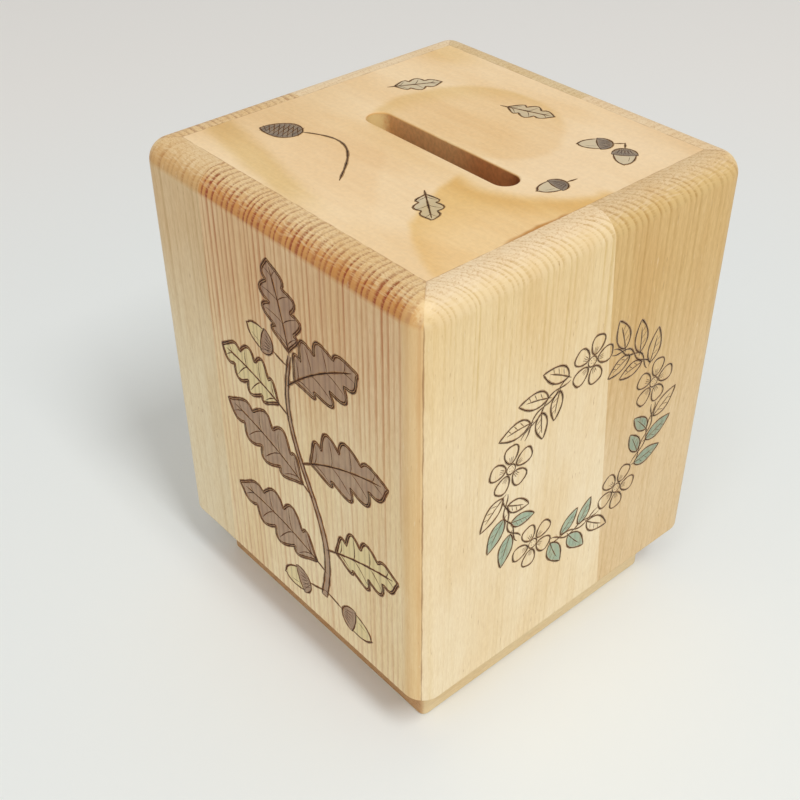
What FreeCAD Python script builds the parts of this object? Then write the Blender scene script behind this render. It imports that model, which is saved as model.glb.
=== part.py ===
"""Wooden money box: a square box of mitred pine walls on a screwed-on base, with a coin slot in the lid.

Each wall is two staves glued edge to edge, with upright grain and a glue line that leans a little.
The lid is let in flush between the walls and rests on four corner blocks. The base block goes up into
the box as a tongue, meets the corner blocks there, and shows below the walls as a plinth. Four
countersunk screws hold it from below.

Frame: +Z up, the origin at the middle of the base's underside, front wall towards -Y, sizes in mm.
"""
import FreeCAD
import Part
import Sketcher
import math
import os

SIZES = (
    ("box_width", 105.0, "outside of the box along X"),
    ("box_depth", 105.0, "outside of the box along Y"),
    ("wall_height", 120.0, "walls, from their lower edge to the lid's face"),
    ("wall_thickness", 8.0, "walls, planed"),
    ("edge_radius", 6.0, "round-over along the upright and the upper edges"),
    ("sanded_arris", 0.5, "radius that sanding leaves on the other outer edges"),
    ("front_glue_top", -26.5, "front glue line at the walls' top, from the wall's middle"),
    ("front_glue_foot", -29.0, "the same line at the walls' lower edge"),
    ("right_glue_top", 4.0, "right glue line at the top"),
    ("right_glue_foot", 14.0, "the same line at the lower edge"),
    ("back_glue_top", -5.0, "back glue line at the top"),
    ("back_glue_foot", -3.0, "the same line at the lower edge"),
    ("left_glue_top", 8.5, "left glue line at the top"),
    ("left_glue_foot", 6.0, "the same line at the lower edge"),
    ("lid_thickness", 8.0, "lid panel"),
    ("slot_length", 51.0, "coin slot, end to end"),
    ("slot_width", 7.0, "coin slot, and the diameter of its round ends"),
    ("slot_centre_x", 1.4, "middle of the slot"),
    ("slot_centre_y", -1.4, "middle of the slot"),
    ("plinth_height", 18.0, "base, from its underside to the walls' lower edge"),
    ("base_tongue", 9.0, "base, the part that goes up between the walls"),
    ("base_gap", 0.2, "sliding gap between the base and each wall"),
    ("base_corner_radius", 2.0, "upright corners of the base"),
    ("base_lead", 1.0, "chamfer round the top of the base"),
    ("block_size", 16.0, "corner block, square"),
    ("block_chamfer", 5.0, "corner block, inner edge taken off"),
    ("screw_length", 40.0, "screw, from the head's face to the point"),
    ("screw_diameter", 3.5, "screw's shank and thread"),
    ("screw_head", 7.0, "screw's head"),
    ("screw_rim", 0.3, "upright rim round the head's face"),
    ("screw_point", 5.0, "taper at the point"),
    ("screw_recess", 0.5, "head's face above the base's underside"),
    ("recess_across", 4.2, "cross recess in the head, from tip to tip"),
    ("recess_blade", 0.8, "width of each bar of the cross"),
    ("recess_depth", 1.6, "depth of the cross"),
    ("clearance_hole", 4.1, "screw hole through the base"),
    ("head_gap", 0.2, "gap round the head in its countersink"),
    ("thread_gap", 0.08, "gap round the thread in the hole it has cut"),
    ("point_gap", 1.0, "hole left above the screw's point"),
)

# walls in the order that they follow round the box, each a quarter turn on from the one before it
WALLS = ("front", "right", "back", "left")
# corners as (name, side along X, side along Y)
CORNERS = (
    ("front_left", -1, -1),
    ("front_right", 1, -1),
    ("back_right", 1, 1),
    ("back_left", -1, 1),
)

# places that several pieces share, as expressions on the sizes
HALF_INSIDE_X = "(sizes.box_width / 2 - sizes.wall_thickness)"
HALF_INSIDE_Y = "(sizes.box_depth / 2 - sizes.wall_thickness)"
SCREW_X = f"({HALF_INSIDE_X} - sizes.block_size / 2)"
SCREW_Y = f"({HALF_INSIDE_Y} - sizes.block_size / 2)"
BASE_HEIGHT = "(sizes.plinth_height + sizes.base_tongue)"
LID_UNDERSIDE = "(sizes.plinth_height + sizes.wall_height - sizes.lid_thickness)"
HEAD_TAPER = "((sizes.screw_head - sizes.screw_diameter) / 2)"
COUNTERSINK = "(sizes.screw_head + 2 * sizes.screw_recess + 2 * sizes.screw_rim + 2 * sizes.head_gap)"
COUNTERSINK_ANGLE = 90.0
SAME_PLACE = 1e-6

doc = FreeCAD.newDocument("money_box")
sheet = doc.addObject("Spreadsheet::Sheet", "sizes")
for row, (alias, value, meaning) in enumerate(SIZES, start=1):
    sheet.set(f"A{row}", meaning)
    sheet.set(f"B{row}", str(value))
    sheet.setAlias(f"B{row}", alias)
doc.recompute()

pieces = []


def new_body(label):
    body = doc.addObject("PartDesign::Body", label)
    body.Label = label
    return body


def place_body(body, x=None, y=None, z=None):
    """Bind the body's place to expressions on the sizes."""
    for axis, expression in (("x", x), ("y", y), ("z", z)):
        if expression:
            body.setExpression(f"Placement.Base.{axis}", expression)


def new_sketch(body, name, plane="XY_Plane"):
    sketch = body.newObject("Sketcher::SketchObject", f"{body.Name}_{name}")
    origin_plane = next(f for f in body.Origin.OriginFeatures if f.Role == plane)
    sketch.AttachmentSupport = [(origin_plane, "")]
    sketch.MapMode = "FlatFace"
    return sketch


def value_of(expression):
    """The number that an expression on the sizes has now, to draw a sketch near its final shape."""
    return float(sheet.evalExpression(expression))


def bind_distance(sketch, kind, geometry, position, expression):
    """Hold a point of the sketch at a distance from the origin along one axis."""
    distance = Sketcher.Constraint(kind, -1, 1, geometry, position, value_of(expression))
    index = sketch.addConstraint(distance)
    sketch.setExpression(f"Constraints[{index}]", expression)


def bind_point(sketch, geometry, position, x, y):
    """Hold a point of the sketch at a place given by two expressions."""
    bind_distance(sketch, "DistanceX", geometry, position, x)
    bind_distance(sketch, "DistanceY", geometry, position, y)


def draw_outline(sketch, corners):
    """Close a straight-sided outline through corners given as pairs of expressions."""
    points = [FreeCAD.Vector(value_of(x), value_of(y), 0) for x, y in corners]
    lines = []
    for start, end in zip(points, points[1:] + points[:1]):
        lines.append(sketch.addGeometry(Part.LineSegment(start, end), False))
    for line, following in zip(lines, lines[1:] + lines[:1]):
        sketch.addConstraint(Sketcher.Constraint("Coincident", line, 2, following, 1))
    for line, (x, y) in zip(lines, corners):
        bind_point(sketch, line, 1, x, y)


def draw_rectangle(sketch, half_x, half_y):
    draw_outline(sketch, [
        (f"-{half_x}", f"-{half_y}"),
        (f"{half_x}", f"-{half_y}"),
        (f"{half_x}", f"{half_y}"),
        (f"-{half_x}", f"{half_y}"),
    ])


def draw_circle(sketch, x, y, diameter):
    centre = FreeCAD.Vector(value_of(x), value_of(y), 0)
    circle = Part.Circle(centre, FreeCAD.Vector(0, 0, 1), value_of(diameter) / 2)
    geometry = sketch.addGeometry(circle, False)
    bind_point(sketch, geometry, 3, x, y)
    index = sketch.addConstraint(Sketcher.Constraint("Diameter", geometry, value_of(diameter)))
    sketch.setExpression(f"Constraints[{index}]", diameter)


def pad(body, sketch, length):
    feature = body.newObject("PartDesign::Pad", f"{sketch.Name}_pad")
    feature.Profile = sketch
    feature.setExpression("Length", length)
    doc.recompute()
    return feature


def pocket(body, sketch, depth=None):
    """Cut upwards from the sketch, to a depth or right through, and make sure that wood came away."""
    before = body.Shape.Volume
    feature = body.newObject("PartDesign::Pocket", f"{sketch.Name}_pocket")
    feature.Profile = sketch
    feature.Reversed = True
    if depth:
        feature.setExpression("Length", depth)
    else:
        feature.Type = "ThroughAll"
    doc.recompute()
    if body.Shape.Volume >= before:
        raise RuntimeError(f"{feature.Name} cut nothing")
    return feature


def dress_edges(body, kind, base, wanted, property_name, expression):
    """Round or chamfer the edges of base that wanted picks by their two end points."""
    names = []
    for number, edge in enumerate(base.Shape.Edges, start=1):
        ends = [vertex.Point for vertex in edge.Vertexes]
        if len(ends) == 2 and wanted(*ends):
            names.append(f"Edge{number}")
    feature = body.newObject(f"PartDesign::{kind}", f"{body.Name}_{kind.lower()}")
    feature.Base = (base, names)
    feature.setExpression(property_name, expression)
    doc.recompute()
    return feature


def is_upright(start, end):
    return abs(start.x - end.x) < SAME_PLACE and abs(start.y - end.y) < SAME_PLACE


def is_at_height(height):
    def at_height(start, end):
        return abs(start.z - height) < SAME_PLACE and abs(end.z - height) < SAME_PLACE
    return at_height


def make_carcass():
    """The four walls glued up as one, with every upright and upper edge rounded over."""
    body = new_body("carcass")
    outline = new_sketch(body, "outline")
    draw_rectangle(outline, "(sizes.box_width / 2)", "(sizes.box_depth / 2)")
    block = pad(body, outline, "sizes.wall_height")
    at_top = is_at_height(value_of("sizes.wall_height"))

    def outer_edge(start, end):
        return is_upright(start, end) or at_top(start, end)

    rounded = dress_edges(body, "Fillet", block, outer_edge, "Radius", "sizes.edge_radius")
    dress_edges(body, "Fillet", rounded, is_at_height(0), "Radius", "sizes.sanded_arris")
    inside = new_sketch(body, "inside")
    draw_rectangle(inside, HALF_INSIDE_X, HALF_INSIDE_Y)
    pocket(body, inside)
    place_body(body, z="sizes.plinth_height")
    return body


def make_stave(carcass, wall, turn, side):
    """One stave of a wall, as the carcass between two mitres or a mitre and the glue line.

    The cutting shape is drawn for the front wall, with X along the wall and Y into the box, and then
    turned a quarter at a time to its own wall. side is -1 for the left stave seen from outside.
    """
    length, across = ("box_width", "box_depth") if turn % 2 == 0 else ("box_depth", "box_width")
    half = f"(sizes.{length} / 2)"
    face = f"(sizes.{across} / 2)"
    spare = "sizes.wall_thickness"
    name = f"{wall}_wall_{'left' if side < 0 else 'right'}_stave"
    cutter = new_body(f"{name}_cutter")
    mitre = new_sketch(cutter, "mitre")
    draw_outline(mitre, [
        (f"-({half} + {spare})", f"-({face} + {spare})"),
        (f"{half} + {spare}", f"-({face} + {spare})"),
        (f"{half} - sizes.wall_thickness", f"-({face} - sizes.wall_thickness)"),
        (f"-({half} - sizes.wall_thickness)", f"-({face} - sizes.wall_thickness)"),
    ])
    pad(cutter, mitre, "sizes.wall_height")
    glue = new_sketch(cutter, "glue_line", "XZ_Plane")
    beyond = f"-({side}) * ({half} + 2 * {spare})"
    draw_outline(glue, [
        (f"sizes.{wall}_glue_foot", "0"),
        (f"sizes.{wall}_glue_top", "sizes.wall_height"),
        (beyond, "sizes.wall_height"),
        (beyond, "0"),
    ])
    other_side = cutter.newObject("PartDesign::Pocket", f"{glue.Name}_pocket")
    other_side.Profile = glue
    other_side.Type = "ThroughAll"
    other_side.Midplane = True
    place_body(cutter, z="sizes.plinth_height")
    cutter.Placement.Rotation = FreeCAD.Rotation(FreeCAD.Vector(0, 0, 1), 90 * turn)
    stave = doc.addObject("Part::Common", name)
    stave.Label = name
    stave.Base = carcass
    stave.Tool = cutter
    doc.recompute()
    pieces.append(stave)


def make_lid():
    body = new_body("lid_panel")
    outline = new_sketch(body, "outline")
    draw_rectangle(outline, HALF_INSIDE_X, HALF_INSIDE_Y)
    pad(body, outline, "sizes.lid_thickness")
    slot = new_sketch(body, "slot")
    reach = "((sizes.slot_length - sizes.slot_width) / 2)"
    left_x = f"(sizes.slot_centre_x - {reach})"
    right_x = f"(sizes.slot_centre_x + {reach})"
    front_y = "(sizes.slot_centre_y - sizes.slot_width / 2)"
    back_y = "(sizes.slot_centre_y + sizes.slot_width / 2)"

    def side_line(y, from_x, to_x):
        ends = [FreeCAD.Vector(value_of(x), value_of(y), 0) for x in (from_x, to_x)]
        line = slot.addGeometry(Part.LineSegment(*ends), False)
        bind_point(slot, line, 1, from_x, y)
        bind_point(slot, line, 2, to_x, y)
        return line

    def end_arc(x, start):
        centre = FreeCAD.Vector(value_of(x), value_of("sizes.slot_centre_y"), 0)
        circle = Part.Circle(centre, FreeCAD.Vector(0, 0, 1), value_of("sizes.slot_width / 2"))
        return slot.addGeometry(Part.ArcOfCircle(circle, start, start + math.pi), False)

    front_side = side_line(front_y, left_x, right_x)
    right_end = end_arc(right_x, -math.pi / 2)
    back_side = side_line(back_y, right_x, left_x)
    left_end = end_arc(left_x, math.pi / 2)
    ring = (front_side, right_end, back_side, left_end)
    for piece, following in zip(ring, ring[1:] + ring[:1]):
        slot.addConstraint(Sketcher.Constraint("Coincident", piece, 2, following, 1))
    bind_distance(slot, "DistanceX", right_end, 3, right_x)
    bind_distance(slot, "DistanceX", left_end, 3, left_x)
    cut = pocket(body, slot)
    at_face = is_at_height(value_of("sizes.lid_thickness"))
    half_inside = value_of(HALF_INSIDE_X)

    def slot_rim(start, end):
        return at_face(start, end) and abs(start.x) < half_inside and abs(end.x) < half_inside

    dress_edges(body, "Fillet", cut, slot_rim, "Radius", "sizes.sanded_arris")
    place_body(body, z=LID_UNDERSIDE)
    pieces.append(body)


def make_corner_block(corner, side_x, side_y):
    """A glued-in block with the hole that its screw has cut, from the base's top to the lid."""
    body = new_body(f"corner_block_{corner}")
    outline = new_sketch(body, "outline")
    wall_x = f"({side_x}) * {HALF_INSIDE_X}"
    wall_y = f"({side_y}) * {HALF_INSIDE_Y}"
    inner_x = f"({side_x}) * ({HALF_INSIDE_X} - sizes.block_size)"
    inner_y = f"({side_y}) * ({HALF_INSIDE_Y} - sizes.block_size)"
    cut_x = f"({side_x}) * ({HALF_INSIDE_X} - sizes.block_size + sizes.block_chamfer)"
    cut_y = f"({side_y}) * ({HALF_INSIDE_Y} - sizes.block_size + sizes.block_chamfer)"
    draw_outline(outline, [
        (wall_x, wall_y),
        (inner_x, wall_y),
        (inner_x, cut_y),
        (cut_x, inner_y),
        (wall_x, inner_y),
    ])
    pad(body, outline, f"{LID_UNDERSIDE} - {BASE_HEIGHT}")
    hole = new_sketch(body, "screw_hole")
    hole_size = "(sizes.screw_diameter + 2 * sizes.thread_gap)"
    draw_circle(hole, f"({side_x}) * {SCREW_X}", f"({side_y}) * {SCREW_Y}", hole_size)
    point_height = "(sizes.screw_recess + sizes.screw_length + sizes.point_gap)"
    pocket(body, hole, f"{point_height} - {BASE_HEIGHT}")
    place_body(body, z=BASE_HEIGHT)
    pieces.append(body)


def make_base():
    body = new_body("base_block")
    outline = new_sketch(body, "outline")
    draw_rectangle(outline, f"({HALF_INSIDE_X} - sizes.base_gap)", f"({HALF_INSIDE_Y} - sizes.base_gap)")
    block = pad(body, outline, BASE_HEIGHT)
    rounded = dress_edges(body, "Fillet", block, is_upright, "Radius", "sizes.base_corner_radius")
    sanded = dress_edges(body, "Fillet", rounded, is_at_height(0), "Radius", "sizes.sanded_arris")
    at_top = is_at_height(value_of(BASE_HEIGHT))
    dress_edges(body, "Chamfer", sanded, at_top, "Size", "sizes.base_lead")
    before = body.Shape.Volume
    holes = new_sketch(body, "screw_holes")
    for _, side_x, side_y in CORNERS:
        draw_circle(holes, f"({side_x}) * {SCREW_X}", f"({side_y}) * {SCREW_Y}", "sizes.clearance_hole")
    doc.recompute()
    drilled = body.newObject("PartDesign::Hole", "base_block_drilled")
    drilled.Profile = holes
    drilled.Reversed = True
    drilled.DepthType = "ThroughAll"
    drilled.HoleCutType = "Countersink"
    drilled.HoleCutCustomValues = True
    drilled.HoleCutCountersinkAngle = COUNTERSINK_ANGLE
    drilled.setExpression("Diameter", "sizes.clearance_hole")
    drilled.setExpression("HoleCutDiameter", COUNTERSINK)
    doc.recompute()
    if body.Shape.Volume >= before:
        raise RuntimeError("the screw holes cut nothing")
    pieces.append(body)


def make_screw(corner, side_x, side_y):
    """A countersunk wood screw, point up, with a cross recess in its head. The thread is left plain."""
    body = new_body(f"base_screw_{corner}")
    profile = new_sketch(body, "profile", "XZ_Plane")
    shank = "(sizes.screw_diameter / 2)"
    draw_outline(profile, [
        ("0", "0"),
        ("sizes.screw_head / 2", "0"),
        ("sizes.screw_head / 2", "sizes.screw_rim"),
        (shank, f"sizes.screw_rim + {HEAD_TAPER}"),
        (shank, "sizes.screw_length - sizes.screw_point"),
        ("0", "sizes.screw_length"),
    ])
    turned = body.newObject("PartDesign::Revolution", f"{body.Name}_turned")
    turned.Profile = profile
    turned.ReferenceAxis = (profile, ["V_Axis"])
    turned.Angle = 360.0
    doc.recompute()
    cross = new_sketch(body, "cross")
    tip = "(sizes.recess_across / 2)"
    bar = "(sizes.recess_blade / 2)"
    draw_outline(cross, [
        (bar, bar), (bar, tip), (f"-{bar}", tip), (f"-{bar}", bar), (f"-{tip}", bar), (f"-{tip}", f"-{bar}"),
        (f"-{bar}", f"-{bar}"), (f"-{bar}", f"-{tip}"), (bar, f"-{tip}"), (bar, f"-{bar}"),
        (tip, f"-{bar}"), (tip, bar),
    ])
    pocket(body, cross, "sizes.recess_depth")
    place_body(body, f"({side_x}) * {SCREW_X}", f"({side_y}) * {SCREW_Y}", "sizes.screw_recess")
    pieces.append(body)


carcass_body = make_carcass()
for quarter_turns, wall_name in enumerate(WALLS):
    for stave_side in (-1, 1):
        make_stave(carcass_body, wall_name, quarter_turns, stave_side)
walls_volume = carcass_body.Shape.Volume
if abs(sum(stave.Shape.Volume for stave in pieces) - walls_volume) > SAME_PLACE * walls_volume:
    raise RuntimeError("the staves don't make up the walls")
make_lid()
for corner_name, along_x, along_y in CORNERS:
    make_corner_block(corner_name, along_x, along_y)
make_base()
for corner_name, along_x, along_y in CORNERS:
    make_screw(corner_name, along_x, along_y)
doc.recompute()

for item in doc.Objects:
    if "Invalid" in item.State or "Error" in item.State:
        raise RuntimeError(f"{item.Label} failed: {item.State}")
for piece in pieces:
    if piece.Shape.isNull() or not piece.Shape.isValid():
        raise RuntimeError(f"{piece.Label} has no valid shape")
    if len(piece.Shape.Solids) != 1:
        raise RuntimeError(f"{piece.Label} is {len(piece.Shape.Solids)} solids")

os.makedirs("parts", exist_ok=True)
for piece in pieces:
    piece.Shape.exportStep(f"parts/{piece.Label}.step")
    box = piece.Shape.BoundBox
    print(f"{piece.Label}: {piece.Shape.Volume:.1f} mm3, z {box.ZMin:.2f} to {box.ZMax:.2f}")
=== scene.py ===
"""Looks of the wooden money box.

Oiled pine staves, burnt and stained drawings of leaves, and zinc screws, on a plain pale table.
"""
from math import atan2, cos, dist, hypot, pi, radians, sin, tau

import bpy
from mathutils import Matrix, Vector


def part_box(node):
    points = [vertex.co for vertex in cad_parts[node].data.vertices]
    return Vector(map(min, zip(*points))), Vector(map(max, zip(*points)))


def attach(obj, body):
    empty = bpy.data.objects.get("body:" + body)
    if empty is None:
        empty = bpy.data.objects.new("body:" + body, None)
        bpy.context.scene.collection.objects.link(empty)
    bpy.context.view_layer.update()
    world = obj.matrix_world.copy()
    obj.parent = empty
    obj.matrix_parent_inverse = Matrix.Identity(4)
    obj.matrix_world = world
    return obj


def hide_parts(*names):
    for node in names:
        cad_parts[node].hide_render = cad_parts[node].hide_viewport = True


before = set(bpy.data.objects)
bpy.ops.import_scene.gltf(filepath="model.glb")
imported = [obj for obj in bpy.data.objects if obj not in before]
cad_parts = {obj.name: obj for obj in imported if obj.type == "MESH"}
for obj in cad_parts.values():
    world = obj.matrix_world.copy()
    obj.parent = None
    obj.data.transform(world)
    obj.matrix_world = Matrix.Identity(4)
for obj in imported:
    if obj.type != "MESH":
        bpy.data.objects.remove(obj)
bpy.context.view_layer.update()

MM = 0.001
TO_MM = (1 / MM, 1 / MM, 1 / MM)
_, LID_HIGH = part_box("lid_panel")
LID_FACE = LID_HIGH.z / MM


def srgb(red, green, blue):
    """A colour from 0 to 255, as it looks on a screen, in the linear values that shaders take."""
    return (*(((c / 255 + 0.055) / 1.055) ** 2.4 for c in (red, green, blue)), 1.0)


class NodeBench:
    """Adds nodes to one node tree. An input takes a number, a tuple or another node's output."""

    def __init__(self, tree):
        self.tree = tree

    def feed(self, node, inputs):
        for key, value in inputs.items():
            if isinstance(value, bpy.types.NodeSocket):
                self.tree.links.new(value, node.inputs[key])
            else:
                node.inputs[key].default_value = value

    def outputs(self, kind, inputs=None, **settings):
        """All outputs of a new node."""
        node = self.tree.nodes.new(kind)
        for name, value in settings.items():
            setattr(node, name, value)
        self.feed(node, inputs or {})
        return node.outputs

    def add(self, kind, inputs=None, output=0, **settings):
        """One output of a new node."""
        return self.outputs(kind, inputs, **settings)[output]

    def group(self, tree, inputs):
        return self.outputs("ShaderNodeGroup", inputs, node_tree=tree)

    def math(self, operation, first, second=0.0):
        return self.add("ShaderNodeMath", {0: first, 1: second}, operation=operation)

    def sum(self, first, second):
        return self.math("ADD", first, second)

    def minus(self, first, second):
        return self.math("SUBTRACT", first, second)

    def times(self, first, second):
        return self.math("MULTIPLY", first, second)

    def vector(self, operation, first, second, output=0):
        return self.add("ShaderNodeVectorMath", {0: first, 1: second}, output, operation=operation)

    def length(self, vector):
        return self.vector("LENGTH", vector, (0, 0, 0), 1)

    def eased(self, value, low, high, to_low=0.0, to_high=1.0):
        """The value eased from to_low, at low, to to_high, at high."""
        inputs = {0: value, 1: low, 2: high, 3: to_low, 4: to_high}
        return self.add("ShaderNodeMapRange", inputs, interpolation_type="SMOOTHSTEP")

    def noise(self, vector, scale, detail):
        """Smooth noise from 0 to 1, with its own scale along each axis."""
        stretched = self.vector("MULTIPLY", vector, scale)
        inputs = {"Vector": stretched, "Scale": 1.0, "Detail": detail}
        return self.add("ShaderNodeTexNoise", inputs)

    def cloud(self, vector, scale, detail, *bounds):
        """Smooth noise, eased between bounds as eased takes them."""
        return self.eased(self.noise(vector, scale, detail), *bounds)

    def swing(self, vector, scale, detail, reach=1.0):
        """Smooth noise about zero, from -reach / 2 to reach / 2."""
        return self.times(self.minus(self.noise(vector, scale, detail), 0.5), reach)

    def mix(self, factor, first, second, blend_type="MIX"):
        inputs = {0: factor, 6: first, 7: second}
        return self.add("ShaderNodeMix", inputs, 2, data_type="RGBA", blend_type=blend_type)

    def tinted(self, colour, tint, mask=1.0):
        """The colour multiplied by a tint where the mask is 1."""
        return self.mix(mask, colour, tint, "MULTIPLY")

    def bump(self, strength, distance, height):
        inputs = {"Strength": strength, "Distance": distance, "Height": height}
        return self.add("ShaderNodeBump", inputs)

    def parts(self, vector):
        """The X, Y and Z of a vector."""
        return self.outputs("ShaderNodeSeparateXYZ", {0: vector})


def new_group(name, inputs, outputs):
    """An empty shader node group: its bench, the sockets of its inputs, and its output node.

    inputs and outputs give the names of the sockets of each kind.
    """
    tree = bpy.data.node_groups.new(name, "ShaderNodeTree")
    for side, kinds in (("INPUT", inputs), ("OUTPUT", outputs)):
        for kind, sockets in kinds.items():
            for socket in sockets:
                tree.interface.new_socket(socket, in_out=side, socket_type=f"NodeSocket{kind}")
    nodes = NodeBench(tree)
    return nodes, nodes.outputs("NodeGroupInput"), tree.nodes.new("NodeGroupOutput")


def new_material(name):
    """A material, its bench and its main shader."""
    material = bpy.data.materials.new(name)
    material.use_nodes = True
    return material, NodeBench(material.node_tree), material.node_tree.nodes["Principled BSDF"]


RING_WANDER = 2.0
SHADE_OVER = 60.0
GRIT_WARMTH = (0.7, 1.0, 1.5)
SANDED_HIGHLIGHT_PALE = srgb(252, 234, 200)
OPEN_PORES = srgb(222, 198, 166)
DULL_BLOTCH = srgb(249, 242, 230)
DARK_FLECK = srgb(186, 152, 106)
PALE_FLECK_SHEEN = srgb(252, 236, 204)
ANOTHER_PLACE = (71.0, 37.0, 53.0)


def make_pine_board():
    """Rings, fibres and flecks of a sawn pine board.

    Rings is the place in mm from the heart of the log and Grain the place in mm with the fibres along Z.
    Sanded is the place drawn out along the rounded edge, for the marks of sanding. End is how far the
    surface faces along the fibres: 0 on a board's face, 1 on its sawn end. Evenness is how alike the rings
    are, and Grit how rough the face looks. Rings beyond the Sapwood radius take the Sapwood Colour, and
    the wood above Shade From takes the Shade Tint, a painted shade that darkens the wall towards its top,
    where less light comes back from the floor, and shows its rings more clearly.
    """
    nodes, given, result = new_group(
        "pine board",
        {"Vector": ["Rings", "Grain", "Sanded"],
         "Float": ["End", "Ring Width", "Evenness", "Flecks", "Grit", "Sapwood", "Shade From"],
         "Color": ["Early", "Late", "Round Early", "Round Late", "End Early", "End Late",
                   "Sapwood Colour", "Shade Tint"]},
        {"Color": ["Color"], "Float": ["Roughness", "Height", "Late Wood"]},
    )
    grain = given["Grain"]
    end = given["End"]
    evenness = given["Evenness"]

    # rings: late wood is the dark line at the end of each year
    wander = nodes.swing(grain, (0.035, 0.035, 0.007), 2.0, RING_WANDER)
    tremble = nodes.times(nodes.noise(grain, (0.8, 0.8, 0.05), 3.0), 0.3)
    radius = nodes.sum(nodes.sum(nodes.length(given["Rings"]), wander), tremble)
    ring = nodes.math("DIVIDE", radius, given["Ring Width"])
    slow = {"W": ring, "Scale": 0.4, "Detail": 1.0}
    pace = nodes.add("ShaderNodeTexNoise", slow, noise_dimensions="1D")
    ring = nodes.sum(ring, nodes.times(pace, 0.9))
    year = nodes.math("FRACT", ring)
    number = {"W": nodes.math("FLOOR", ring)}
    strength = nodes.add("ShaderNodeTexWhiteNoise", number, noise_dimensions="1D")
    rise = nodes.eased(year, 0.34, 0.80)
    fall = nodes.eased(year, 0.86, 1.0, 1.0, 0.0)
    late = nodes.times(nodes.times(rise, fall), nodes.eased(strength, 0.0, 1.0, evenness, 1.0))

    # the face: rings that come and go, fibres, soft bands and grit
    patchy = nodes.cloud(grain, (0.3, 0.3, 0.025), 3.0, 0.35, 0.62, evenness, 1.0)
    fibre = nodes.noise(grain, (4.0, 4.0, 0.12), 4.0)
    streak = nodes.times(nodes.minus(fibre, 0.5), 0.8)
    unevenness = nodes.minus(2.0, nodes.times(evenness, 1.6))
    band = nodes.swing(grain, (0.6, 0.6, 0.028), 4.0, unevenness)
    # painted shade: each wall darker towards its top, where less light comes back from the floor
    fully_shaded = nodes.sum(given["Shade From"], SHADE_OVER)
    shaded_above = nodes.eased(nodes.parts(grain)[2], given["Shade From"], fully_shaded)
    clear = nodes.times(patchy, nodes.eased(shaded_above, 0.0, 1.0, 0.5, 1.0))
    clear = nodes.times(clear, nodes.eased(evenness, 0.0, 0.6, 0.35, 1.0))
    along = nodes.sum(nodes.times(late, clear), nodes.sum(streak, band))
    face_colour = nodes.mix(along, given["Early"], given["Late"])
    grit = nodes.swing(grain, (3.0, 3.0, 0.5), 2.0, given["Grit"])
    speckle = nodes.vector("ADD", nodes.vector("MULTIPLY", grit, GRIT_WARMTH), (1.0, 1.0, 1.0))
    face_colour = nodes.tinted(face_colour, speckle)
    face_colour = nodes.tinted(face_colour, given["Shade Tint"], shaded_above)

    # the round-over and the sawn end: rings broken up by sanding marks and open fibres
    fuzz = nodes.swing(grain, (3.0, 3.0, 1.2), 4.0)
    frayed = nodes.cloud(given["Sanded"], (1.0, 1.0, 1.0), 3.0, 0.44, 0.66)
    whole = nodes.times(late, nodes.eased(frayed, 0.0, 1.0, 1.0, 0.5))
    across = nodes.sum(whole, nodes.times(fuzz, 0.5))
    round_colour = nodes.mix(across, given["Round Early"], given["Round Late"])
    faded = nodes.times(whole, nodes.eased(end, 0.9, 1.0, 1.0, 0.55))
    faded = nodes.sum(faded, nodes.times(fuzz, 0.9))
    end_colour = nodes.mix(faded, given["End Early"], given["End Late"])
    ragged = nodes.sum(end, nodes.times(fuzz, 0.05))
    colour = nodes.mix(nodes.eased(ragged, 0.02, 0.20), face_colour, round_colour)
    torn = nodes.sum(end, nodes.times(nodes.minus(frayed, 0.5), 0.16))
    colour = nodes.mix(nodes.eased(torn, 0.44, 0.98), colour, end_colour)
    # paler sanded fibres and a painted highlight along the middle of the rounded edge
    lit = nodes.times(frayed, nodes.eased(end, 0.25, 0.6, 0.0, 0.14))
    colour = nodes.mix(lit, colour, SANDED_HIGHLIGHT_PALE)
    pores = nodes.cloud(grain, (1.9, 1.9, 1.9), 3.0, 0.50, 0.68)
    pores = nodes.times(pores, nodes.eased(end, 0.7, 1.0, 0.0, 0.6))
    colour = nodes.tinted(colour, OPEN_PORES, pores)

    # sapwood, broad blotches, dark flecks, and pale ray flecks with a painted sheen
    sapwood = nodes.eased(nodes.minus(radius, given["Sapwood"]), -0.8, 0.8)
    sapwood = nodes.times(sapwood, nodes.eased(end, 0.02, 0.3, 0.6, 0.4))
    colour = nodes.mix(sapwood, colour, given["Sapwood Colour"])
    blotch = nodes.cloud(grain, (0.07, 0.07, 0.022), 3.0, 0.32, 0.68, 1.0, 0.0)
    colour = nodes.tinted(colour, DULL_BLOTCH, blotch)
    fleck = nodes.cloud(grain, (2.6, 2.6, 0.22), 2.0, 0.70, 0.80)
    fleck = nodes.times(fleck, given["Flecks"])
    colour = nodes.tinted(colour, DARK_FLECK, fleck)
    # pale ray flecks whose sheen is painted into the colour
    moved = nodes.vector("ADD", grain, ANOTHER_PLACE)
    fleck_sheen = nodes.cloud(moved, (1.8, 1.8, 0.25), 2.0, 0.66, 0.80)
    fleck_sheen = nodes.times(fleck_sheen, nodes.times(given["Flecks"], 0.5))
    colour = nodes.mix(fleck_sheen, colour, PALE_FLECK_SHEEN)

    rough = nodes.eased(fibre, 0.2, 0.8, 0.42, 0.56)
    relief = nodes.sum(nodes.times(late, 0.2), nodes.times(fibre, 0.65))
    relief = nodes.minus(relief, nodes.times(fleck, 0.6))
    nodes.feed(result, {"Color": colour, "Roughness": rough, "Height": relief, "Late Wood": late})
    return nodes.tree


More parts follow.
